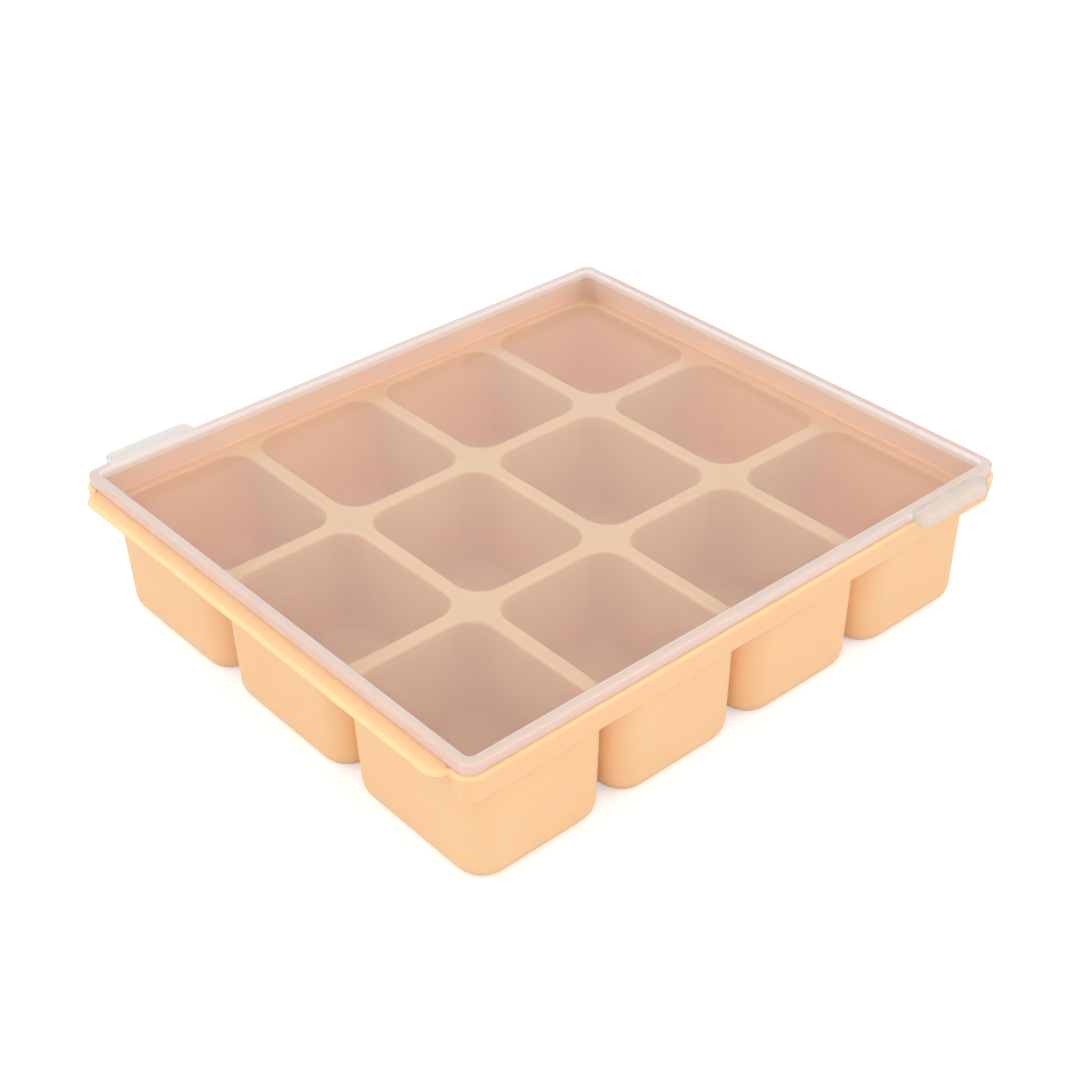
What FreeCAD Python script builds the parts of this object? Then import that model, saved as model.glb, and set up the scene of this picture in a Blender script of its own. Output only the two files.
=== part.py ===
import FreeCAD, Part

import math
import os

# Baby food freezer tray: a one-piece silicone moulding with twelve tapered cups under one deck,
# and a thin lid whose channel drops over the tray's wall.
# Millimetres. The origin is under the middle of the tray, on the plane that the cups stand on.
# X runs along the four cups of a row, Y across the three rows, Z up.

# --- cups ---
columns = 4
rows = 3
pitchX = 48.0            # from cup to cup along X
pitchY = 57.0            # from cup to cup along Y
cupGap = 1.0             # between neighbouring cups, right under the deck
cupDepth = 36.4          # from the deck's top to the plane that the cups stand on
cupWall = 2.0
cupFloor = 2.2
cupDraft = 1.9           # degrees that a cup's sides lean in going down
cupCorner = 10.2         # upright outside corners of a cup, right under the deck
cupFoot = 6.0            # rounding from a cup's sides into its base
mouthRounding = 1.0      # soft edge where a cup opens in the deck

# --- deck and the wall around it ---
deckThickness = 1.5
deckMarginX = 2.9        # from the outermost cups' insides to the wall
deckMarginY = 2.1
wallHeight = 9.7         # above the deck
wallThickness = 1.5      # of the thin top that seats in the lid
wallDraft = 1.5          # degrees that the wall's inside leans in going down
wallCorner = 2.95        # upright outside corners of the thin top
wallInnerCorner = 2.6    # at the deck
wallTopRounding = 0.4
wallRootRounding = 0.8   # hollow between the wall and the deck

# --- band around the outside, with the ledge on top that the lid's skirt ends over ---
ledgeHeight = 7.2        # above the deck
ledgeWidth = 2.2         # from the thin top's outside to the band's outer edge
ledgeRounding = 1.1
bandFlare = 1.35         # how much further out the band's top is than its foot
bandCorner = 5.3         # upright corners of the band, at the ledge
bandFootRounding = 0.5

# --- grip lips, one at each end in X ---
lipReach = 3.9           # beyond the band
lipThickness = 1.6
lipFromCorner = 7.0      # from the band's sides to the lip's ends
lipCorner = 5.0
lipRooting = 2.0         # how far the lip's plate runs into the band
lipTopRounding = 1.3
lipFootRounding = 0.2

# --- lid ---
lidThickness = 0.8
lidClearance = 0.25      # between the lid and the tray's wall, each side
ledgeGap = 0.35          # between the lid's skirt and the ledge
panelGap = 1.1           # between the deck and the underside of the lid's sunk panel
lidCorner = 4.0
lidOuterRounding = 0.6   # along the rim's outer top edge
lidInnerRounding = 1.2   # along the rim's inner top edge
panelRounding = 0.6      # hollow around the sunk panel, on top

# --- pull tabs of the lid, one on each long side, at opposite ends ---
tabLength = 28.8
tabReach = 5.0
tabDepth = 3.6
tabFromEnd = 9.0         # from the lid's end in X to the tab
tabCorner = 3.0
tabRootRounding = 1.0    # hollow where the tab's sides meet the rim

overshoot = 3.0          # how far cutting shapes run past what they cut
near = 0.001             # heights and places closer than this are the same

# --- heights ---
deckTop = cupDepth
deckUnderside = deckTop - deckThickness
ledgeTop = deckTop + ledgeHeight
wallTop = deckTop + wallHeight
lidTop = wallTop + lidThickness
skirtBottom = ledgeTop + ledgeGap
panelUnderside = deckTop + panelGap
panelTop = panelUnderside + lidThickness

# --- half sizes in X and Y ---
cupLean = math.tan(math.radians(cupDraft))
wallLean = math.tan(math.radians(wallDraft))
cupHalf = ((pitchX - cupGap) / 2, (pitchY - cupGap) / 2)
cavityHalf = (cupHalf[0] - cupWall, cupHalf[1] - cupWall)
recessHalf = (
    (columns - 1) * pitchX / 2 + cavityHalf[0] + deckMarginX,
    (rows - 1) * pitchY / 2 + cavityHalf[1] + deckMarginY,
)


def grown(half, amount):
    return (half[0] + amount, half[1] + amount)


wallInnerHalf = grown(recessHalf, wallLean * wallHeight)
wallOuterHalf = grown(wallInnerHalf, wallThickness)
bandTopHalf = grown(wallOuterHalf, ledgeWidth)
lidInnerHalf = grown(wallOuterHalf, lidClearance)
lidHalf = grown(lidInnerHalf, lidThickness)
tubHalf = grown(wallInnerHalf, -lidClearance)
tubCorner = wallInnerCorner + wallLean * wallHeight - lidClearance


# --- shapes that several pieces share ---
# Closed loop of four straight sides and four corner arcs.
def roundedLoop(half, corner, z, middle=(0.0, 0.0)):
    edges = []
    for turn, (sideX, sideY) in enumerate(((1, 1), (-1, 1), (-1, -1), (1, -1))):
        centre = FreeCAD.Vector(
            middle[0] + sideX * (half[0] - corner), middle[1] + sideY * (half[1] - corner), z
        )
        arc = Part.makeCircle(corner, centre, FreeCAD.Vector(0, 0, 1), 90 * turn, 90 * turn + 90)
        if edges:
            edges.append(Part.makeLine(edges[-1].lastVertex().Point, arc.firstVertex().Point))
        edges.append(arc)
    edges.append(Part.makeLine(edges[-1].lastVertex().Point, edges[0].firstVertex().Point))
    return Part.Wire(edges)


# Upright block with rounded corners.
def roundedBlock(half, corner, bottom, top, middle=(0.0, 0.0)):
    face = Part.Face(roundedLoop(half, corner, bottom, middle))
    return face.extrude(FreeCAD.Vector(0, 0, top - bottom))


# Block with the given half size and corners at one level. Its sides and its corners, which are
# cones, lean out by the same amount for each millimetre upwards.
def leaningBlock(half, corner, level, lean, bottom, top):
    loops = []
    for z in (bottom, top):
        growth = lean * (z - level)
        loops.append(roundedLoop(grown(half, growth), corner + growth, z))
    return Part.makeLoft(loops, True, True)


# Edges that lie flat at one height.
def edgesAt(shape, z):
    flat = [edge for edge in shape.Edges if abs(edge.BoundBox.ZMin - z) < near]
    return [edge for edge in flat if abs(edge.BoundBox.ZMax - z) < near]


# Whether an edge stays within a half size in X and in Y.
def isWithin(edge, half):
    box = edge.BoundBox
    reachX = max(abs(box.XMin), abs(box.XMax))
    reachY = max(abs(box.YMin), abs(box.YMax))
    return reachX < half[0] + near and reachY < half[1] + near


# A copy of the shape at every cup's middle.
def atEachCup(shape):
    copies = []
    for column in range(columns):
        for row in range(rows):
            x = (column - (columns - 1) / 2) * pitchX
            y = (row - (rows - 1) / 2) * pitchY
            copies.append(shape.translated(FreeCAD.Vector(x, y, 0)))
    return copies


# --- tray: cups, deck, wall, band and lips in one moulding ---
def makeCups():
    cup = leaningBlock(cupHalf, cupCorner, deckUnderside, cupLean, 0, deckTop)
    cup = cup.makeFillet(cupFoot, edgesAt(cup, 0))
    return atEachCup(cup)


def makeCavities():
    corner = cupCorner - cupWall
    top = deckTop + overshoot
    cavity = leaningBlock(cavityHalf, corner, deckUnderside, cupLean, cupFloor, top)
    cavity = cavity.makeFillet(cupFoot - cupWall, edgesAt(cavity, cupFloor))
    return atEachCup(cavity)


def makeBand():
    lean = bandFlare / (ledgeTop - deckUnderside)
    band = leaningBlock(bandTopHalf, bandCorner, ledgeTop, lean, deckUnderside, ledgeTop)
    band = band.makeFillet(ledgeRounding, edgesAt(band, ledgeTop))
    return band.makeFillet(bandFootRounding, edgesAt(band, deckUnderside))


def makeLip(side):
    outer = bandTopHalf[0] + lipReach
    inner = bandTopHalf[0] - lipRooting - lipCorner
    half = ((outer - inner) / 2, bandTopHalf[1] - lipFromCorner)
    middle = (side * (outer + inner) / 2, 0)
    lip = roundedBlock(half, lipCorner, ledgeTop - lipThickness, ledgeTop, middle)
    lip = lip.makeFillet(lipTopRounding, edgesAt(lip, ledgeTop))
    return lip.makeFillet(lipFootRounding, edgesAt(lip, ledgeTop - lipThickness))


def makeTray():
    thinTop = roundedBlock(wallOuterHalf, wallCorner, ledgeTop - ledgeRounding, wallTop)
    top = wallTop + overshoot
    recess = leaningBlock(recessHalf, wallInnerCorner, deckTop, wallLean, deckTop, top)
    tray = makeBand().fuse([thinTop, makeLip(-1), makeLip(1)] + makeCups()).removeSplitter()
    tray = tray.cut(recess).cut(makeCavities())
    tray = tray.makeFillet(wallTopRounding, edgesAt(tray, wallTop))
    deckMiddle = grown(recessHalf, -wallRootRounding / 2)
    mouths = [edge for edge in edgesAt(tray, deckTop) if isWithin(edge, deckMiddle)]
    tray = tray.makeFillet(mouthRounding, mouths)
    wallRoot = [edge for edge in edgesAt(tray, deckTop) if not isWithin(edge, deckMiddle)]
    return tray.makeFillet(wallRootRounding, wallRoot)


# --- lid: a rim with a skirt outside and a sunk panel inside, and two pull tabs ---
# Half size, corner and middle of a tab's plan, or of the pocket that hollows it from below.
def tabPlan(inset):
    half = (tabLength / 2 - inset, tabReach - inset)
    middle = (lidHalf[0] - tabFromEnd - tabLength / 2, -lidHalf[1])
    return half, tabCorner - inset, middle


def makeTab():
    half, corner, middle = tabPlan(0)
    return roundedBlock(half, corner, lidTop - tabDepth, lidTop, middle)


def makeTabPocket():
    half, corner, middle = tabPlan(lidThickness)
    return roundedBlock(half, corner, lidTop - tabDepth - overshoot, wallTop, middle)


def halfTurned(shape):
    return shape.rotated(FreeCAD.Vector(0, 0, 0), FreeCAD.Vector(0, 0, 1), 180)


def makeTub(inset, bottom, top, rounding):
    half = grown(tubHalf, -inset)
    tub = leaningBlock(half, tubCorner - inset, wallTop, wallLean, bottom, top)
    return tub.makeFillet(rounding, edgesAt(tub, bottom))


def makeLid():
    rimBlock = roundedBlock(lidHalf, lidCorner, skirtBottom, lidTop)
    tabs = [makeTab(), halfTurned(makeTab())]
    outside = rimBlock.fuse(tabs).removeSplitter()
    outside = outside.makeFillet(tabRootRounding, tabRoots(outside))
    outside = outside.makeFillet(lidOuterRounding, edgesAt(outside, lidTop))
    pockets = [makeTabPocket(), halfTurned(makeTabPocket())]
    pockets = [pocket.cut(rimBlock) for pocket in pockets]
    underside = roundedBlock(lidInnerHalf, lidCorner - lidThickness, deckTop, wallTop)
    # The tabs hang lower than the ledge, outside it, so their side walls step over it.
    ledgeRoomHalf = grown(bandTopHalf, lidClearance)
    ledgeRoom = roundedBlock(ledgeRoomHalf, bandCorner + lidClearance, deckTop, skirtBottom)
    lid = outside.cut(pockets + [underside, ledgeRoom])
    lid = lid.fuse(makeTub(0, panelUnderside, lidTop, panelRounding + lidThickness)).removeSplitter()
    lid = lid.cut(makeTub(lidThickness, panelTop, lidTop + overshoot, panelRounding))
    innerRim = [edge for edge in edgesAt(lid, lidTop) if isWithin(edge, tubHalf)]
    return lid.makeFillet(lidInnerRounding, innerRim)


# Upright edges where the tabs' sides leave the rim.
def tabRoots(shape):
    tabMiddle = tabPlan(0)[2]
    roots = []
    for edge in shape.Edges:
        box = edge.BoundBox
        upright = box.ZLength > lidThickness and box.XLength < near and box.YLength < near
        onRim = abs(abs(box.YMin) - lidHalf[1]) < near
        onTab = abs(abs(abs(box.XMin) - tabMiddle[0]) - tabLength / 2) < near
        if upright and onRim and onTab:
            roots.append(edge)
    return roots


os.makedirs("parts", exist_ok=True)
pieces = {"tray": makeTray(), "lid": makeLid()}
for name, shape in pieces.items():
    shape.exportStep("parts/" + name + ".step")
    print(name, shape.ShapeType, len(shape.Solids), "solid", shape.isValid(), round(shape.Volume), "mm3")
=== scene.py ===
import math

import bmesh
import bpy
from mathutils import Matrix, Vector


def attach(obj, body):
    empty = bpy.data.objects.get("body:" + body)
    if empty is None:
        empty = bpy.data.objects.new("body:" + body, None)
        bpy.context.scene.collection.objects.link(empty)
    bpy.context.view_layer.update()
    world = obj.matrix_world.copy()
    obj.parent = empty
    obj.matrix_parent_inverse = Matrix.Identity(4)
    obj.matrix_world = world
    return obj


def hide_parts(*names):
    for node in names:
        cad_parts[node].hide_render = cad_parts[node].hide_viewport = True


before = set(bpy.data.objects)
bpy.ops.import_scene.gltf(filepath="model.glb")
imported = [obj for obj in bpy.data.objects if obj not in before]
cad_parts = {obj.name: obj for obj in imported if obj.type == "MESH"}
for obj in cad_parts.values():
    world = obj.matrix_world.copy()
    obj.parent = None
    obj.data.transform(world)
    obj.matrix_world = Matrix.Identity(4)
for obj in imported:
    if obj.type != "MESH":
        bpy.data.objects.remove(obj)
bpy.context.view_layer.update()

mm = 0.001          # lengths in the dictionaries below are millimetres
tiny = 0.0005       # points closer than this become one
sharpAngle = 50     # degrees; a fold that turns more than this stays crisp
print("frame loaded")

# Rings. Every wall is a skin over closed rings that have the same number of points.
# A ring runs anticlockwise round a rounded rectangle, a corner first and then the side after it.
quadrants = ((1, 1), (-1, 1), (-1, -1), (1, -1))
outwards = ((0, 1), (-1, 0), (0, -1), (1, 0))
onwards = ((-1, 0), (0, -1), (1, 0), (0, 1))
cornerSteps = 9      # faces round a corner
sideSteps = 26       # faces along a plain side


def grown(half, amount):
    return (half[0] + amount, half[1] + amount)


def evenly(low, high, steps):
    return [low + (high - low) * step / steps for step in range(steps + 1)]


# Points of one ring. sides holds, for each side, its stations: how far along the side, how far
# beyond its straight line and how far above the ring.
def ring(half, corner, z, sides, middle=(0.0, 0.0)):
    points = []
    for turn in range(4):
        centreX = middle[0] + quadrants[turn][0] * (half[0] - corner)
        centreY = middle[1] + quadrants[turn][1] * (half[1] - corner)
        for step in range(cornerSteps + 1):
            angle = math.pi / 2 * (turn + step / cornerSteps)
            x = centreX + corner * math.cos(angle)
            y = centreY + corner * math.sin(angle)
            points.append((x, y, z))
        out = outwards[turn]
        on = onwards[turn]
        away = half[(turn + 1) % 2]
        for along, beyond, rise in sides[turn]:
            x = middle[0] + on[0] * along + out[0] * (away + beyond)
            y = middle[1] + on[1] * along + out[1] * (away + beyond)
            points.append((x, y, z + rise))
    return points


def addRows(mesh, rings):
    rows = []
    for points in rings:
        rows.append([mesh.verts.new((x * mm, y * mm, z * mm)) for x, y, z in points])
    for lower, upper in zip(rows, rows[1:]):
        for place, corner in enumerate(lower):
            after = (place + 1) % len(lower)
            mesh.faces.new((corner, lower[after], upper[after], upper[place]))
    return rows


def edgesOf(row):
    edges = []
    for place, corner in enumerate(row):
        after = row[(place + 1) % len(row)]
        edges.append(next(edge for edge in corner.link_edges if after in edge.verts))
    return edges


# Flat face with holes between rows of points that lie in one plane.
def fillBetween(mesh, rows):
    edges = []
    for row in rows:
        edges += edgesOf(row)
    bmesh.ops.triangle_fill(mesh, use_beauty=True, edges=edges, normal=(0, 0, 1))


# Arc as (sideways, upwards) from its centre, with angles in degrees.
def arc(radius, start, end, steps):
    turns = [math.radians(angle) for angle in evenly(start, end, steps)]
    return [(radius * math.cos(turn), radius * math.sin(turn)) for turn in turns]


# Rounding between a flat below and a wall that leans out going up, as (sideways, upwards)
# from the line where the two would meet. It runs from the wall to the flat.
def footRounding(radius, lean, steps):
    tilt = math.radians(lean)
    centre = radius * (math.tan(tilt) - 1 / math.cos(tilt))
    return [(centre + across, radius + up) for across, up in arc(radius, -lean, -90, steps)]


# Rounding between a flat on top and a hollow's wall that leans out going up.
# It runs from the flat to the wall.
def mouthRounding(radius, lean, steps):
    tilt = math.radians(lean)
    centre = radius * (1 / math.cos(tilt) - math.tan(tilt))
    return [(centre + across, up - radius) for across, up in arc(radius, 90, 180 - lean, steps)]


# Turns a mesh into a shaded piece, with rows that meet joined into one.
def finishPiece(name, mesh):
    bmesh.ops.remove_doubles(mesh, verts=mesh.verts, dist=tiny * mm)
    bmesh.ops.dissolve_degenerate(mesh, edges=mesh.edges, dist=tiny * mm)
    bmesh.ops.recalc_face_normals(mesh, faces=mesh.faces)
    data = bpy.data.meshes.new(name)
    mesh.to_mesh(data)
    mesh.free()
    for face in data.polygons:
        face.use_smooth = True
    data.set_sharp_from_angle(angle=math.radians(sharpAngle))
    piece = bpy.data.objects.new(name, data)
    bpy.context.scene.collection.objects.link(piece)
    weighted = piece.modifiers.new("weighted", "WEIGHTED_NORMAL")
    weighted.keep_sharp = True
    weighted.weight = 100
    return piece


# The tray, a soft moulding of cups, deck, wall, band and two grip lips.
tray = {
    "columns": 4, "rows": 3,
    "pitch": (48.0, 57.0),
    "cupHalf": (23.5, 28.0),        # outside of a cup, right under the deck
    "cupCorner": 10.2,
    "cupWall": 2.0, "cupFloor": 2.2,
    "cupDraft": 1.9,                # degrees
    "cupFoot": 6.0,
    "cupBow": 0.15,                 # how far the soft sides bow in at their middles
    "mouthRounding": 1.0,
    "cupSideSteps": 6,              # faces along a cup's side
    "cupWallSteps": 6,              # faces down its wall
    "deckTop": 36.4, "deckThickness": 1.5,
    "recessHalf": (96.4, 85.1),     # inside of the wall, at the deck
    "recessCorner": 2.6, "recessRounding": 0.8,
    "wallHeight": 9.7, "wallThickness": 1.5, "wallDraft": 1.5,
    "wallCorner": 2.95, "wallTopRounding": 0.4,
    "seatGap": 0.06,                # how much the soft wall gives under the lid
    "ledgeHeight": 7.2, "ledgeWidth": 2.2, "ledgeRounding": 1.1,
    "ledgeRoot": 0.3,               # hollow where the thin wall stands on the ledge
    "bandFlare": 1.35, "bandCorner": 5.3, "bandFootRounding": 0.5,
    "lipReach": 3.9, "lipThickness": 1.6,
    "lipTopRounding": 1.3, "lipFootRounding": 0.2,
    "lipFromCorner": 7.0, "lipCorner": 5.0,
    "lipRoot": 0.5,                 # hollow where the lip's ends leave the band
    "lipSteps": 24,                 # faces along a lip
}
deckTop = tray["deckTop"]
deckUnderside = deckTop - tray["deckThickness"]
ledgeTop = deckTop + tray["ledgeHeight"]
wallTop = deckTop + tray["wallHeight"]
wallLean = math.tan(math.radians(tray["wallDraft"]))
wallInnerHalf = grown(tray["recessHalf"], wallLean * tray["wallHeight"])
wallInnerCorner = tray["recessCorner"] + wallLean * tray["wallHeight"]
wallOuterHalf = grown(wallInnerHalf, tray["wallThickness"])
bandTopHalf = grown(wallOuterHalf, tray["ledgeWidth"])
bandSlope = tray["bandFlare"] / (ledgeTop - deckUnderside)
lipOuter = bandTopHalf[0] + tray["lipReach"]
lipStraight = bandTopHalf[1] - tray["lipFromCorner"] - tray["lipCorner"]


def cupSides(half, corner, bow):
    sides = []
    for turn in range(4):
        reach = half[turn % 2] - corner
        places = evenly(-reach, reach, tray["cupSideSteps"])[1:-1]
        sides.append([(along, -bow * (1 - (along / reach) ** 2), 0.0) for along in places])
    return sides


# Rings down one cup, outside or inside: half and corner are where its wall's line meets top.
def cupRings(half, corner, top, bottom, foot, mouth, middle):
    draft = tray["cupDraft"]
    lean = math.tan(math.radians(draft))
    levels = [(0.0, top)]
    if mouth:
        levels = [(across, top + up) for across, up in mouthRounding(mouth, draft, steps=5)]
    footPoints = footRounding(foot, draft, steps=8)
    wall = evenly(levels[-1][1], bottom + footPoints[0][1], tray["cupWallSteps"])
    levels += [(lean * (z - top), z) for z in wall[1:-1]]
    atBottom = lean * (bottom - top)
    levels += [(atBottom + across, bottom + up) for across, up in footPoints]
    rings = []
    for shift, z in levels:
        bow = tray["cupBow"] * math.sin(math.pi * (top - z) / (top - bottom))
        sides = cupSides(grown(half, shift), corner + shift, bow)
        rings.append(ring(grown(half, shift), corner + shift, z, sides, middle))
    return rings


# One end of the lip as (past its straight part, beyond the band's side), from the hollow
# where it leaves the band round its corner.
def lipEnd(away, inset):
    radius = tray["lipCorner"] - inset
    root = tray["lipRoot"]
    line = away - (lipOuter - tray["lipCorner"])
    reach = math.sqrt((radius + root) ** 2 - (line + root) ** 2)
    joint = math.degrees(math.atan2(line + root, reach))
    points = [(reach + across, root + up) for across, up in arc(root, -90, joint - 180, steps=3)]
    return points + [(across, up - line) for across, up in arc(radius, joint, 90, steps=8)[1:]]


def lippedSide(away, inset):
    plain = inset is None
    end = lipEnd(bandTopHalf[0] if plain else away, 0.0 if plain else inset)
    side = [(-lipStraight - past, beyond) for past, beyond in end]
    places = evenly(-lipStraight, lipStraight, tray["lipSteps"])[1:-1]
    side += [(along, end[-1][1]) for along in places]
    side += [(lipStraight + past, beyond) for past, beyond in reversed(end)]
    return [(along, 0.0 if plain else beyond, 0.0) for along, beyond in side]


def trayRing(half, corner, shift, z, lipInset=None):
    size = grown(half, shift)
    reach = tray["recessHalf"][0] - tray["recessCorner"]
    plain = [(along, 0.0, 0.0) for along in evenly(-reach, reach, sideSteps)[1:-1]]
    lipped = lippedSide(size[0], lipInset)
    return ring(size, corner + shift, z, [plain, lipped, plain, lipped])


# How far in the band's outside is at a height, against its line at the ledge.
def bandShift(z):
    tilt = math.atan(bandSlope)
    radius = tray["ledgeRounding"]
    centre = ledgeTop - radius
    if z < centre - radius * math.sin(tilt):
        return -bandSlope * (ledgeTop - z)
    across = math.sqrt(max(radius ** 2 - (z - centre) ** 2, 0.0))
    return across - bandSlope * radius - radius / math.cos(tilt)


def bandRings():
    corner = tray["bandCorner"]
    lean = math.degrees(math.atan(bandSlope))
    rings = []
    for across, up in reversed(footRounding(tray["bandFootRounding"], lean, steps=4)):
        shift = across - tray["bandFlare"]
        rings.append(trayRing(bandTopHalf, corner, shift, deckUnderside + up))
    lipBottom = ledgeTop - tray["lipThickness"]
    for z in evenly(deckUnderside, lipBottom, steps=3)[1:]:
        rings.append(trayRing(bandTopHalf, corner, bandShift(z), z))
    foot = tray["lipFootRounding"]
    top = tray["lipTopRounding"]
    nose = [(foot - across, lipBottom + foot + up) for across, up in arc(foot, -90, 0, steps=3)]
    nose += [(top - across, ledgeTop - top + up) for across, up in arc(top, 0, 90, steps=8)]
    for inset, z in nose:
        rings.append(trayRing(bandTopHalf, corner, bandShift(z), z, inset))
    return rings


def wallRings():
    rings = []
    root = tray["ledgeRoot"]
    for across, up in arc(root, -90, -180, steps=3):
        z = ledgeTop + root + up
        rings.append(trayRing(wallOuterHalf, tray["wallCorner"], root + across, z))
    rounding = tray["wallTopRounding"]
    top = wallTop - tray["seatGap"]
    for across, up in arc(rounding, 0, 90, steps=4):
        z = top - rounding + up
        rings.append(trayRing(wallOuterHalf, tray["wallCorner"], across - rounding, z))
    for across, up in mouthRounding(rounding, tray["wallDraft"], steps=4):
        rings.append(trayRing(wallInnerHalf, wallInnerCorner, across, top + up))
    for z in evenly(top, deckTop, steps=3)[1:-1]:
        shift = wallLean * (z - deckTop)
        rings.append(trayRing(tray["recessHalf"], tray["recessCorner"], shift, z))
    for across, up in footRounding(tray["recessRounding"], tray["wallDraft"], steps=5):
        rings.append(trayRing(tray["recessHalf"], tray["recessCorner"], across, deckTop + up))
    return rings


def makeTray():
    mesh = bmesh.new()
    outline = addRows(mesh, bandRings() + wallRings())
    undersides = [outline[0]]
    tops = [outline[-1]]
    lean = math.tan(math.radians(tray["cupDraft"]))
    wall = tray["cupWall"]
    mouthHalf = grown(tray["cupHalf"], lean * tray["deckThickness"] - wall)
    mouthCorner = tray["cupCorner"] + lean * tray["deckThickness"] - wall
    for column in range(tray["columns"]):
        for row in range(tray["rows"]):
            x = (column - (tray["columns"] - 1) / 2) * tray["pitch"][0]
            y = (row - (tray["rows"] - 1) / 2) * tray["pitch"][1]
            cup = addRows(mesh, cupRings(
                tray["cupHalf"], tray["cupCorner"], deckUnderside, 0.0,
                tray["cupFoot"], 0.0, (x, y)))
            hollow = addRows(mesh, cupRings(
                mouthHalf, mouthCorner, deckTop, tray["cupFloor"],
                tray["cupFoot"] - wall, tray["mouthRounding"], (x, y)))
            mesh.faces.new(cup[-1])
            mesh.faces.new(hollow[-1])
            undersides.append(cup[0])
            tops.append(hollow[0])
    fillBetween(mesh, undersides)
    fillBetween(mesh, tops)
    return finishPiece("trayMoulding", mesh)


# The lid, one thin skin: a sunk panel in a tub, a rim over the tray's wall and two tabs.
lid = {
    "thickness": 0.8,
    "clearance": 0.25,              # to the tray's wall
    "ledgeGap": 0.35,               # under the skirt
    "panelGap": 1.1,                # over the deck
    "corner": 4.0,
    "outerRounding": 0.6, "innerRounding": 1.2, "panelRounding": 0.6,
    "tabFromEnd": 9.0, "tabLength": 28.8, "tabReach": 5.0, "tabDepth": 3.6,
    "tabCorner": 3.0, "tabRoot": 1.0,
    "shoulderDepth": 2.3,              # how far the shoulder's paler band, partly painted highlight, reaches down the tub's walls
    "spareStep": 0.5,               # between the rim's points that only the tabs need
    "tabRootSteps": 4, "tabCornerSteps": 5, "tabFrontSteps": 10,
    "besideTabSteps": 24,           # faces along the rest of the rim's long side
}
lidTop = wallTop + lid["thickness"]
panelUnderside = deckTop + lid["panelGap"]
panelTop = panelUnderside + lid["thickness"]
skirtBottom = ledgeTop + lid["ledgeGap"]
tabBottom = lidTop - lid["tabDepth"]
shoulderBottom = lidTop - lid["shoulderDepth"]
tubHalf = grown(wallInnerHalf, -lid["clearance"])
tubCorner = wallInnerCorner - lid["clearance"]
lidInnerHalf = grown(wallOuterHalf, lid["clearance"])
lidInnerCorner = lid["corner"] - lid["thickness"]
lidHalf = grown(lidInnerHalf, lid["thickness"])
tabMiddle = lidHalf[0] - lid["tabFromEnd"] - lid["tabLength"] / 2
tabStart = tabMiddle - lid["tabLength"] / 2


# Stations of a tab's first half, from where its root leaves the rim to where its front
# starts: (along, beyond the rim's side, whether it lies in the tab's pocket, whether it
# hangs outside the ledge). kind is plain on the rim's side, tab on the tab's outline or
# pocket on the hollow below it.
def tabHalf(kind, inset):
    root = lid["tabRoot"]
    corner = lid["tabCorner"]
    ledgeEdge = bandTopHalf[1] + lid["clearance"] - lidHalf[1]
    foot = evenly(tabStart - root, tabStart + lid["thickness"], lid["tabRootSteps"])
    side = tabStart + inset
    if kind == "plain":
        spare = foot[-1] + lid["spareStep"]
        frontStart = foot[-1] + 2 * lid["spareStep"]
        front = evenly(frontStart, tabStart + corner, lid["tabCornerSteps"])
        places = foot + [foot[-1], spare, spare] + front
        points = [(along, 0.0) for along in places]
    else:
        if kind == "pocket":
            points = [(along, 0.0) for along in foot] + [(side, 0.0)]
        else:
            hollow = arc(root + inset, -90, 0, lid["tabRootSteps"])
            points = [(tabStart - root + across, root + up) for across, up in hollow]
            points.append((side, (root + ledgeEdge) / 2))
        points += 2 * [(side, ledgeEdge)]
        front = arc(corner - inset, 180, 90, lid["tabCornerSteps"])
        points += [(tabStart + corner + across, lid["tabReach"] - corner + up)
                   for across, up in front]
    pocketStart = len(foot)
    ledgeStart = pocketStart + 2
    return [(*point, place >= pocketStart, place >= ledgeStart)
            for place, point in enumerate(points)]


def tabbedSide(kind, inset, pocketRise, drop):
    first = tabHalf(kind, inset)
    front = first[-1]
    places = evenly(front[0], 2 * tabMiddle - front[0], lid["tabFrontSteps"])[1:-1]
    middle = [(along, front[1], True, True) for along in places]
    second = [(2 * tabMiddle - station[0], *station[1:]) for station in reversed(first)]
    reach = tubHalf[0] - tubCorner
    start = tabStart - lid["tabRoot"]
    beside = evenly(-reach, start, lid["besideTabSteps"])[1:-1]
    side = [(along, 0.0, 0.0) for along in beside]
    lineInset = inset if kind == "tab" else 0.0
    for along, beyond, inPocket, outside in first + middle + second:
        side.append((along, beyond + lineInset, pocketRise * inPocket - drop * outside))
    side.append(((side[-1][0] + reach) / 2, 0.0, 0.0))
    return side


def lidRing(half, corner, shift, z, kind="plain", inset=0.0, pocketRise=0.0, drop=0.0):
    long = tabbedSide(kind, inset, pocketRise, drop)
    reach = tubHalf[1] - tubCorner
    short = [(along, 0.0, 0.0) for along in evenly(-reach, reach, sideSteps)[1:-1]]
    return ring(grown(half, shift), corner + shift, z, [long, short, long, short])


# From the panel's underside up the tub, over the channel and down the inside of the skirt.
def undersideRings():
    rings = []
    atPanel = wallLean * (panelUnderside - wallTop)
    radius = lid["panelRounding"] + lid["thickness"]
    for across, up in reversed(footRounding(radius, tray["wallDraft"], steps=6)):
        rings.append(lidRing(tubHalf, tubCorner, atPanel + across, panelUnderside + up))
    for z in evenly(panelUnderside, shoulderBottom, steps=2)[1:] + [wallTop]:
        rings.append(lidRing(tubHalf, tubCorner, wallLean * (z - wallTop), z))
    for z in (wallTop, skirtBottom):
        rings.append(lidRing(lidInnerHalf, lidInnerCorner, 0.0, z))
    return rings


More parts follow.
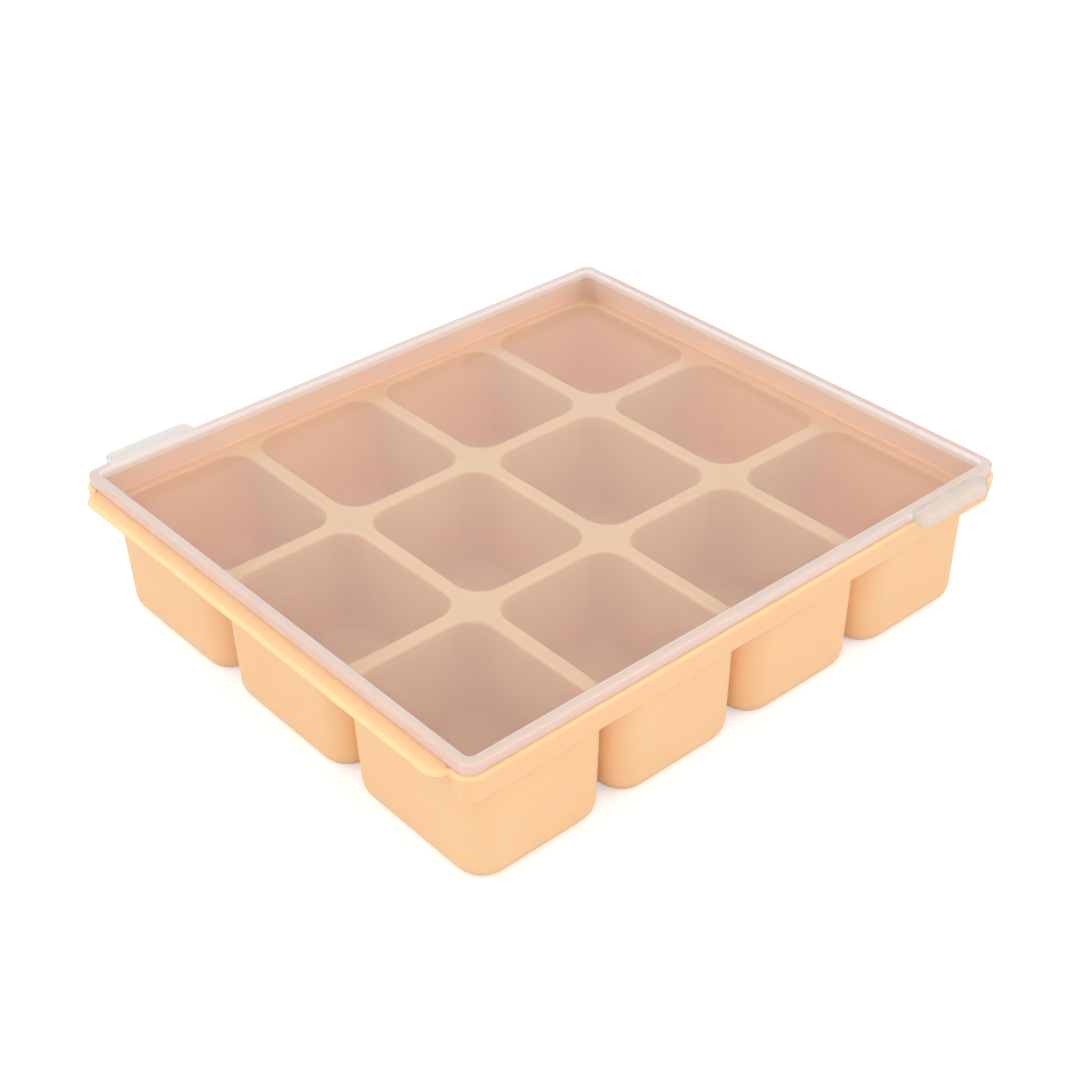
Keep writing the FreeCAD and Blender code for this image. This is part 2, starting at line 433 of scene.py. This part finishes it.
# From the bottom of the skirt, through the tabs' pockets and up the outside of the rim.
def skirtRings():
    rise = wallTop - skirtBottom
    drop = skirtBottom - tabBottom
    wall = lid["thickness"]
    corner = lid["corner"]
    rings = [
        lidRing(lidHalf, corner, 0.0, skirtBottom),
        lidRing(lidHalf, corner, 0.0, skirtBottom, pocketRise=rise),
        lidRing(lidHalf, corner, 0.0, skirtBottom, "pocket", wall, pocketRise=rise),
        lidRing(lidHalf, corner, 0.0, skirtBottom, "pocket", wall),
        lidRing(lidHalf, corner, 0.0, skirtBottom, "pocket", wall, drop=drop),
        lidRing(lidHalf, corner, 0.0, skirtBottom, "tab", drop=drop),
        lidRing(lidHalf, corner, 0.0, skirtBottom, "tab"),
    ]
    radius = lid["outerRounding"]
    for across, up in arc(radius, 0, 90, steps=6):
        inset = radius - across
        rings.append(lidRing(lidHalf, corner, -inset, lidTop - radius + up, "tab", inset))
    rings.append(lidRing(lidHalf, corner, -radius, lidTop))
    return rings


# From the rim's top down the inside of the tub to the panel.
def tubRings():
    half = grown(tubHalf, -lid["thickness"])
    corner = tubCorner - lid["thickness"]
    atTop = wallLean * (lidTop - wallTop)
    rings = []
    for across, up in mouthRounding(lid["innerRounding"], tray["wallDraft"], steps=6):
        rings.append(lidRing(half, corner, atTop + across, lidTop + up))
    for z in evenly(shoulderBottom, panelTop, steps=2)[:-1]:
        rings.append(lidRing(half, corner, wallLean * (z - wallTop), z))
    atPanel = wallLean * (panelTop - wallTop)
    for across, up in footRounding(lid["panelRounding"], tray["wallDraft"], steps=4):
        rings.append(lidRing(half, corner, atPanel + across, panelTop + up))
    return rings


def makeLid():
    mesh = bmesh.new()
    rows = addRows(mesh, undersideRings() + skirtRings() + tubRings())
    mesh.faces.new(rows[0])
    mesh.faces.new(rows[-1])
    return finishPiece("lidMoulding", mesh)


# Materials. A node gets its settings by name, and values for its inputs.
def addNode(tree, kind, values=None, **settings):
    node = tree.nodes.new("ShaderNode" + kind)
    for name, value in settings.items():
        setattr(node, name, value)
    for name, value in (values or {}).items():
        node.inputs[name].default_value = value
    return node


def combine(tree, operation, *values):
    node = addNode(tree, "Math", operation=operation)
    for place, value in enumerate(values):
        if isinstance(value, bpy.types.NodeSocket):
            tree.links.new(value, node.inputs[place])
        else:
            node.inputs[place].default_value = value
    return node.outputs[0]


# Number between low and high where mask runs from 0 to 1.
def between(tree, mask, low, high):
    return combine(tree, "MULTIPLY_ADD", mask, high - low, low)


def newGroup(name, inputs, outputs):
    tree = bpy.data.node_groups.new(name, "ShaderNodeTree")
    for label, value in inputs.items():
        socket = tree.interface.new_socket(label, in_out="INPUT", socket_type="NodeSocketFloat")
        socket.default_value = value
    for label in outputs:
        tree.interface.new_socket(label, in_out="OUTPUT", socket_type="NodeSocketFloat")
    entry = tree.nodes.new("NodeGroupInput")
    result = tree.nodes.new("NodeGroupOutput")
    return tree, entry.outputs, result.inputs


def useGroup(tree, group, **values):
    node = tree.nodes.new("ShaderNodeGroup")
    node.node_tree = group
    for name, value in values.items():
        node.inputs[name].default_value = value
    return node.outputs


# Soft cloudy patches, 0 to 1. size is the width of a patch in metres.
def makePatches():
    tree, given, result = newGroup("patches", {"size": 0.02, "detail": 2.0}, ["mask"])
    place = addNode(tree, "TexCoord").outputs["Object"]
    noise = addNode(tree, "TexNoise", {"Roughness": 0.55})
    tree.links.new(place, noise.inputs["Vector"])
    tree.links.new(combine(tree, "DIVIDE", 1.0, given["size"]), noise.inputs["Scale"])
    tree.links.new(given["detail"], noise.inputs["Detail"])
    usual = {"From Min": 0.3, "From Max": 0.7}      # noise seldom leaves this span
    spread = addNode(tree, "MapRange", usual)
    tree.links.new(noise.outputs["Fac"], spread.inputs["Value"])
    tree.links.new(spread.outputs["Result"], result["mask"])
    return tree


# Relief that the mould leaves: a fine grain on slow waves, as a height in metres.
def makeRelief():
    tree, given, result = newGroup(
        "mouldRelief",
        {"grainSize": 0.0003, "grainDepth": 4e-6, "waveSize": 0.012, "waveDepth": 3e-5},
        ["height"])
    place = addNode(tree, "TexCoord").outputs["Object"]
    heights = []
    for part, detail in (("grain", 2.0), ("wave", 1.0)):
        noise = addNode(tree, "TexNoise", {"Detail": detail, "Roughness": 0.6})
        tree.links.new(place, noise.inputs["Vector"])
        scale = combine(tree, "DIVIDE", 1.0, given[part + "Size"])
        tree.links.new(scale, noise.inputs["Scale"])
        heights.append(combine(tree, "MULTIPLY", noise.outputs["Fac"], given[part + "Depth"]))
    tree.links.new(combine(tree, "ADD", *heights), result["height"])
    return tree


# Hair scratches from washing and stacking, 0 to 1. Each patch has its own direction.
def makeScratches():
    tree, given, result = newGroup(
        "hairScratches", {"patch": 0.02, "width": 0.0006, "share": 0.5}, ["mask"])
    place = addNode(tree, "TexCoord").outputs["Object"]
    cells = addNode(tree, "TexVoronoi")
    tree.links.new(place, cells.inputs["Vector"])
    tree.links.new(combine(tree, "DIVIDE", 1.0, given["patch"]), cells.inputs["Scale"])
    parts = addNode(tree, "SeparateColor")
    tree.links.new(cells.outputs["Color"], parts.inputs[0])
    turned = addNode(tree, "VectorRotate", rotation_type="Z_AXIS")
    tree.links.new(place, turned.inputs["Vector"])
    tree.links.new(combine(tree, "MULTIPLY", parts.outputs[0], math.tau), turned.inputs["Angle"])
    drawn = addNode(tree, "VectorMath", operation="MULTIPLY")
    drawn.inputs[1].default_value = (0.03, 1.0, 1.0)      # draws the noise out into streaks
    tree.links.new(turned.outputs[0], drawn.inputs[0])
    noise = addNode(tree, "TexNoise", {"Detail": 1.0})
    tree.links.new(drawn.outputs[0], noise.inputs["Vector"])
    tree.links.new(combine(tree, "DIVIDE", 1.0, given["width"]), noise.inputs["Scale"])
    off = combine(tree, "ABSOLUTE", combine(tree, "SUBTRACT", noise.outputs["Fac"], 0.5))
    hair = {"From Max": 0.012, "To Min": 1.0, "To Max": 0.0}    # where the noise crosses 0.5
    line = addNode(tree, "MapRange", hair)
    tree.links.new(off, line.inputs["Value"])
    chosen = combine(tree, "LESS_THAN", parts.outputs[1], given["share"])
    tree.links.new(combine(tree, "MULTIPLY", line.outputs["Result"], chosen), result["mask"])
    return tree


# 1 along the border of a rectangle round the origin, falling to 0 at width from it. halfX and
# halfY are the rectangle's half size; all are metres.
def makeBorder():
    tree, given, result = newGroup(
        "border", {"halfX": 0.1, "halfY": 0.1, "width": 0.01}, ["mask"])
    place = addNode(tree, "SeparateXYZ")
    tree.links.new(addNode(tree, "TexCoord").outputs["Object"], place.inputs[0])
    insides = []
    for axis, half in (("X", "halfX"), ("Y", "halfY")):
        off = combine(tree, "ABSOLUTE", place.outputs[axis])
        insides.append(combine(tree, "SUBTRACT", given[half], off))
    inside = combine(tree, "MINIMUM", *insides)
    fall = addNode(
        tree, "MapRange", {"To Min": 1.0, "To Max": 0.0}, interpolation_type="SMOOTHSTEP")
    tree.links.new(inside, fall.inputs["Value"])
    tree.links.new(given["width"], fall.inputs["From Max"])
    tree.links.new(fall.outputs["Result"], result["mask"])
    return tree


patches = makePatches()
relief = makeRelief()
scratches = makeScratches()
border = makeBorder()


def newMaterial(name):
    material = bpy.data.materials.new(name)
    material.use_nodes = True
    tree = material.node_tree
    tree.nodes.clear()
    output = tree.nodes.new("ShaderNodeOutputMaterial")
    shader = tree.nodes.new("ShaderNodeBsdfPrincipled")
    tree.links.new(shader.outputs["BSDF"], output.inputs["Surface"])
    return material, tree, shader


# Base colour that drifts from one tone to another where mask runs from 0 to 1.
def mixTones(tree, mask, first, second):
    tones = addNode(tree, "Mix", data_type="RGBA")
    tones.inputs["A"].default_value = first
    tones.inputs["B"].default_value = second
    tree.links.new(mask, tones.inputs["Factor"])
    return tones.outputs["Result"]


def addBump(tree, height):
    bump = addNode(tree, "Bump", {"Strength": 1.0, "Distance": 1.0})
    tree.links.new(height, bump.inputs["Height"])
    return bump.outputs["Normal"]


# What both materials share: colour and roughness that drift with tone, spots or scratches that
# add to the roughness, and the mould's relief.
def addFinish(tree, shader, look, tone, marks):
    colour = mixTones(tree, tone, look["colour"], look["otherTone"])
    tree.links.new(colour, shader.inputs["Base Color"])
    dull = between(tree, tone, *look["roughness"])
    tree.links.new(combine(tree, "ADD", dull, marks), shader.inputs["Roughness"])
    height = useGroup(
        tree, relief, grainSize=look["grainSize"] * mm, grainDepth=look["grainDepth"] * mm,
        waveSize=look["waveSize"] * mm, waveDepth=look["waveDepth"] * mm)["height"]
    tree.links.new(addBump(tree, height), shader.inputs["Normal"])
    shader.inputs["IOR"].default_value = look["glassiness"]


silicone = {
    "colour": (0.962, 0.598, 0.338, 1.0),
    "otherTone": (0.948, 0.576, 0.316, 1.0),
    "toneSize": 26.0,
    "roughness": (0.40, 0.48),
    "bloom": 0.08,                  # dry matt spots on top of the roughness
    "bloomSize": 1.6,
    "bloomContrast": 3.0,           # higher leaves fewer spots
    "grainSize": 0.32, "grainDepth": 0.004,
    "waveSize": 14.0, "waveDepth": 0.05,
    "softness": 0.80,
    "scatterRadius": (1.0, 0.82, 0.42),
    "scatterDepth": 4.0,
    "glassiness": 1.41, "shine": 0.9,
}


def makeSilicone():
    look = silicone
    material, tree, shader = newMaterial("peachSilicone")
    tone = useGroup(tree, patches, size=look["toneSize"] * mm, detail=3.0)["mask"]
    bloom = useGroup(tree, patches, size=look["bloomSize"] * mm, detail=4.0)["mask"]
    spots = combine(tree, "POWER", bloom, look["bloomContrast"])
    addFinish(tree, shader, look, tone, combine(tree, "MULTIPLY", spots, look["bloom"]))
    shader.inputs["Subsurface Weight"].default_value = look["softness"]
    shader.inputs["Subsurface Radius"].default_value = look["scatterRadius"]
    shader.inputs["Subsurface Scale"].default_value = look["scatterDepth"] * mm
    shader.inputs["Specular IOR Level"].default_value = look["shine"]
    return material


# The lid is one plastic: see-through on the panel and the tub's walls, milky where it is folded
# into the rim, its shoulder and the tabs. The tabs' grey is painted shade; the shoulder's paler
# band is partly painted highlight. shadow is the share of direct light that it holds back, and
# borderShadow the same along the panel's border.
milky = {
    "roughness": (0.30, 0.36), "scratch": 0.04, "shadow": 0.20,
    "grainSize": 0.8, "grainDepth": 0.0012,
    "waveSize": 15.0, "waveDepth": 0.03,
}
lidLooks = {
    "lidPanel": {
        "colour": (0.985, 0.955, 0.930, 1.0), "otherTone": (0.970, 0.940, 0.915, 1.0),
        "roughness": (0.085, 0.115), "scratch": 0.05,
        "clearness": 0.90, "glassiness": 1.33,
        "shadow": 0.36, "borderShadow": 0.06, "borderWidth": 9.0,
        "grainSize": 1.1, "grainDepth": 0.0010,
        "waveSize": 22.0, "waveDepth": 0.05,
    },
    "lidWall": {
        "colour": (0.99, 0.965, 0.960, 1.0), "otherTone": (0.98, 0.95, 0.945, 1.0),
        "roughness": (0.07, 0.11), "scratch": 0.03,
        "clearness": 0.83, "glassiness": 1.30,
        "shadow": 0.20,
        "grainSize": 1.1, "grainDepth": 0.0008,
        "waveSize": 20.0, "waveDepth": 0.03,
    },
    "lidRim": {
        **milky,
        "colour": (0.855, 0.74, 0.695, 1.0), "otherTone": (0.84, 0.73, 0.685, 1.0),
        "clearness": 0.50, "glassiness": 1.10,
    },
    # The tabs' grey is painted shade: it makes them darker than the rest of the plastic.
    "lidTab": {
        **milky,
        "colour": (0.855, 0.84, 0.83, 1.0), "otherTone": (0.84, 0.825, 0.815, 1.0),
        "roughness": (0.32, 0.38), "scratch": 0.02,
        "clearness": 0.74, "glassiness": 1.15,
    },
    # The shoulder's paler, milkier colour is partly painted highlight along the rim's inner
    # edge.
    "lidShoulder": {
        **milky,
        "colour": (0.94, 0.87, 0.845, 1.0), "otherTone": (0.925, 0.86, 0.835, 1.0),
        "clearness": 0.36, "glassiness": 1.10,
    },
}
lidMarks = {                        # shared by all five finishes
    "toneSize": 18.0,
    "scratchPatch": 16.0, "scratchWidth": 0.9, "scratchShare": 0.45,
}


def makeLidPlastic(name):
    look = lidLooks[name]
    material, tree, shader = newMaterial(name)
    tone = useGroup(tree, patches, size=lidMarks["toneSize"] * mm, detail=3.0)["mask"]
    lines = useGroup(
        tree, scratches, patch=lidMarks["scratchPatch"] * mm,
        width=lidMarks["scratchWidth"] * mm, share=lidMarks["scratchShare"])["mask"]
    addFinish(tree, shader, look, tone, combine(tree, "MULTIPLY", lines, look["scratch"]))
    shader.inputs["Transmission Weight"].default_value = look["clearness"]
    shadow = look["shadow"]
    if "borderShadow" in look:
        edge = useGroup(
            tree, border, halfX=tubHalf[0] * mm, halfY=tubHalf[1] * mm,
            width=look["borderWidth"] * mm)["mask"]
        shadow = between(tree, edge, shadow, look["borderShadow"])
    rays = addNode(tree, "LightPath").outputs
    through = combine(tree, "SUBTRACT", 1.0, shadow)
    passed = combine(tree, "MULTIPLY", rays["Is Shadow Ray"], through)
    tree.links.new(combine(tree, "SUBTRACT", 1.0, passed), shader.inputs["Alpha"])
    return material


def putInPlace(piece, node, materials):
    for material in materials:
        piece.data.materials.append(material)
    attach(piece, node)
    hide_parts(node)


# How far a point is outside a rounded rectangle round the origin; negative inside it.
def outsideOf(half, corner, point):
    across = abs(point.x) - half[0] + corner
    up = abs(point.y) - half[1] + corner
    return min(max(across, up), 0.0) + math.hypot(max(across, 0.0), max(up, 0.0)) - corner


# Which finish the lid's skin has at a point. Its shoulder is where the tub's walls turn into
# the rim.
def finishAt(point):
    wallFoot = panelTop + lid["panelRounding"]
    shoulder = lid["innerRounding"] - lid["thickness"]
    beyond = outsideOf(tubHalf, tubCorner, point)
    besideTab = abs(abs(point.x) - tabMiddle) < lid["tabLength"] / 2 + lid["tabRoot"]
    pastRim = abs(point.y) > lidHalf[1] - lid["outerRounding"] + tiny
    underRim = beyond > -lid["thickness"] / 2 and point.z < wallTop + tiny
    # The tabs get the grey colour, which is painted shade.
    if besideTab and pastRim and point.x * point.y < 0:
        return "lidTab"
    if underRim and outsideOf(lidInnerHalf, lidInnerCorner, point) < tiny:
        return "lidWall"
    if beyond > shoulder:
        return "lidRim"
    # The top of the tub's walls gets the shoulder's paler colour, which is partly painted
    # highlight.
    if point.z > shoulderBottom:
        return "lidShoulder"
    return "lidWall" if point.z > wallFoot else "lidPanel"


def splitLid(piece):
    finishes = list(lidLooks)
    for face in piece.data.polygons:
        face.material_index = finishes.index(finishAt(face.center / mm))


trayPiece = makeTray()
putInPlace(trayPiece, "tray", [makeSilicone()])
print("tray made")
lidPiece = makeLid()
splitLid(lidPiece)
putInPlace(lidPiece, "lid", [makeLidPlastic(name) for name in lidLooks])
print("lid made")

# The studio, in metres and watts.
studio = {
    "floorSize": 6.0,
    "floorColour": (0.76, 0.76, 0.76, 1.0),
    "floorRoughness": 0.9, "floorShine": 0.1,
    "floorGlow": 0.42,              # only as the camera sees it, also through the lid
    "aim": (0.0, 0.0, 0.03),        # where the lamps point
    "worldColour": (1.0, 1.0, 1.0, 1.0),
    "worldStrength": 0.745,         # as the pieces are lit by it
    "backdropStrength": 1.0,        # as the camera and the mirrored light see it
    "lamps": {                      # name: (power, size, place)
        "front": (2.1, 0.9, (-0.44, -0.64, 0.48)),
        "right": (3.0, 1.0, (0.60, -0.66, 0.58)),
        "left": (3.7, 1.0, (-0.72, 0.50, 0.58)),
    },
}


def makeFloor():
    half = studio["floorSize"] / 2
    mesh = bpy.data.meshes.new("floor")
    corners = [(-half, -half, 0), (half, -half, 0), (half, half, 0), (-half, half, 0)]
    mesh.from_pydata(corners, [], [(0, 1, 2, 3)])
    floor = bpy.data.objects.new("floor", mesh)
    bpy.context.scene.collection.objects.link(floor)
    material, tree, shader = newMaterial("paleFloor")
    shader.inputs["Base Color"].default_value = studio["floorColour"]
    shader.inputs["Roughness"].default_value = studio["floorRoughness"]
    shader.inputs["Specular IOR Level"].default_value = studio["floorShine"]
    shader.inputs["Emission Color"].default_value = (1, 1, 1, 1)
    rays = addNode(tree, "LightPath").outputs
    seen = combine(tree, "MAXIMUM", rays["Is Camera Ray"], rays["Is Transmission Ray"])
    glow = combine(tree, "MULTIPLY", seen, studio["floorGlow"])
    tree.links.new(glow, shader.inputs["Emission Strength"])
    floor.data.materials.append(material)


def makeWorld():
    world = bpy.data.worlds.new("studio")
    world.use_nodes = True
    bpy.context.scene.world = world
    tree = world.node_tree
    background = tree.nodes["Background"]
    background.inputs["Color"].default_value = studio["worldColour"]
    rays = addNode(tree, "LightPath").outputs
    seen = combine(tree, "MAXIMUM", rays["Is Camera Ray"], rays["Is Glossy Ray"])
    strength = between(tree, seen, studio["worldStrength"], studio["backdropStrength"])
    tree.links.new(strength, background.inputs["Strength"])


def makeLamp(name, power, size, place):
    light = bpy.data.lights.new(name, "AREA")
    light.energy = power
    light.size = size
    lamp = bpy.data.objects.new(name, light)
    lamp.location = place
    aim = Vector(studio["aim"]) - Vector(place)
    lamp.rotation_euler = aim.to_track_quat("-Z", "Y").to_euler()
    bpy.context.scene.collection.objects.link(lamp)


makeFloor()
makeWorld()
for name, lamp in studio["lamps"].items():
    makeLamp(name, *lamp)

# The camera. Angles are degrees, and azimuth 0 looks along +Y.
view = {
    "azimuth": -40.51,
    "height": 34.51,
    "roll": -1.16,
    "distance": 535.2,
    "target": (-14.38, -16.55, 36.4),
    "lens": 62.94, "sensorWidth": 36.0,
    "nearestSeen": 10.0,
}


def makeCamera():
    azimuth = math.radians(view["azimuth"])
    height = math.radians(view["height"])
    roll = math.radians(view["roll"])
    back = Vector((
        math.sin(azimuth) * math.cos(height),
        -math.cos(azimuth) * math.cos(height),
        math.sin(height),
    ))
    right = (-back).cross(Vector((0, 0, 1))).normalized()
    up = right.cross(-back)
    turnedRight = right * math.cos(roll) + up * math.sin(roll)
    turnedUp = up * math.cos(roll) - right * math.sin(roll)
    turn = Matrix((turnedRight, turnedUp, back)).transposed()
    data = bpy.data.cameras.new("camera")
    data.lens = view["lens"]
    data.sensor_width = view["sensorWidth"]
    data.sensor_fit = "HORIZONTAL"
    data.clip_start = view["nearestSeen"] * mm
    camera = bpy.data.objects.new("camera", data)
    place = (Vector(view["target"]) + back * view["distance"]) * mm
    camera.matrix_world = Matrix.Translation(place) @ turn.to_4x4()
    bpy.context.scene.collection.objects.link(camera)
    bpy.context.scene.camera = camera


makeCamera()
bpy.context.scene.view_settings.view_transform = "Standard"
print("studio and camera made")
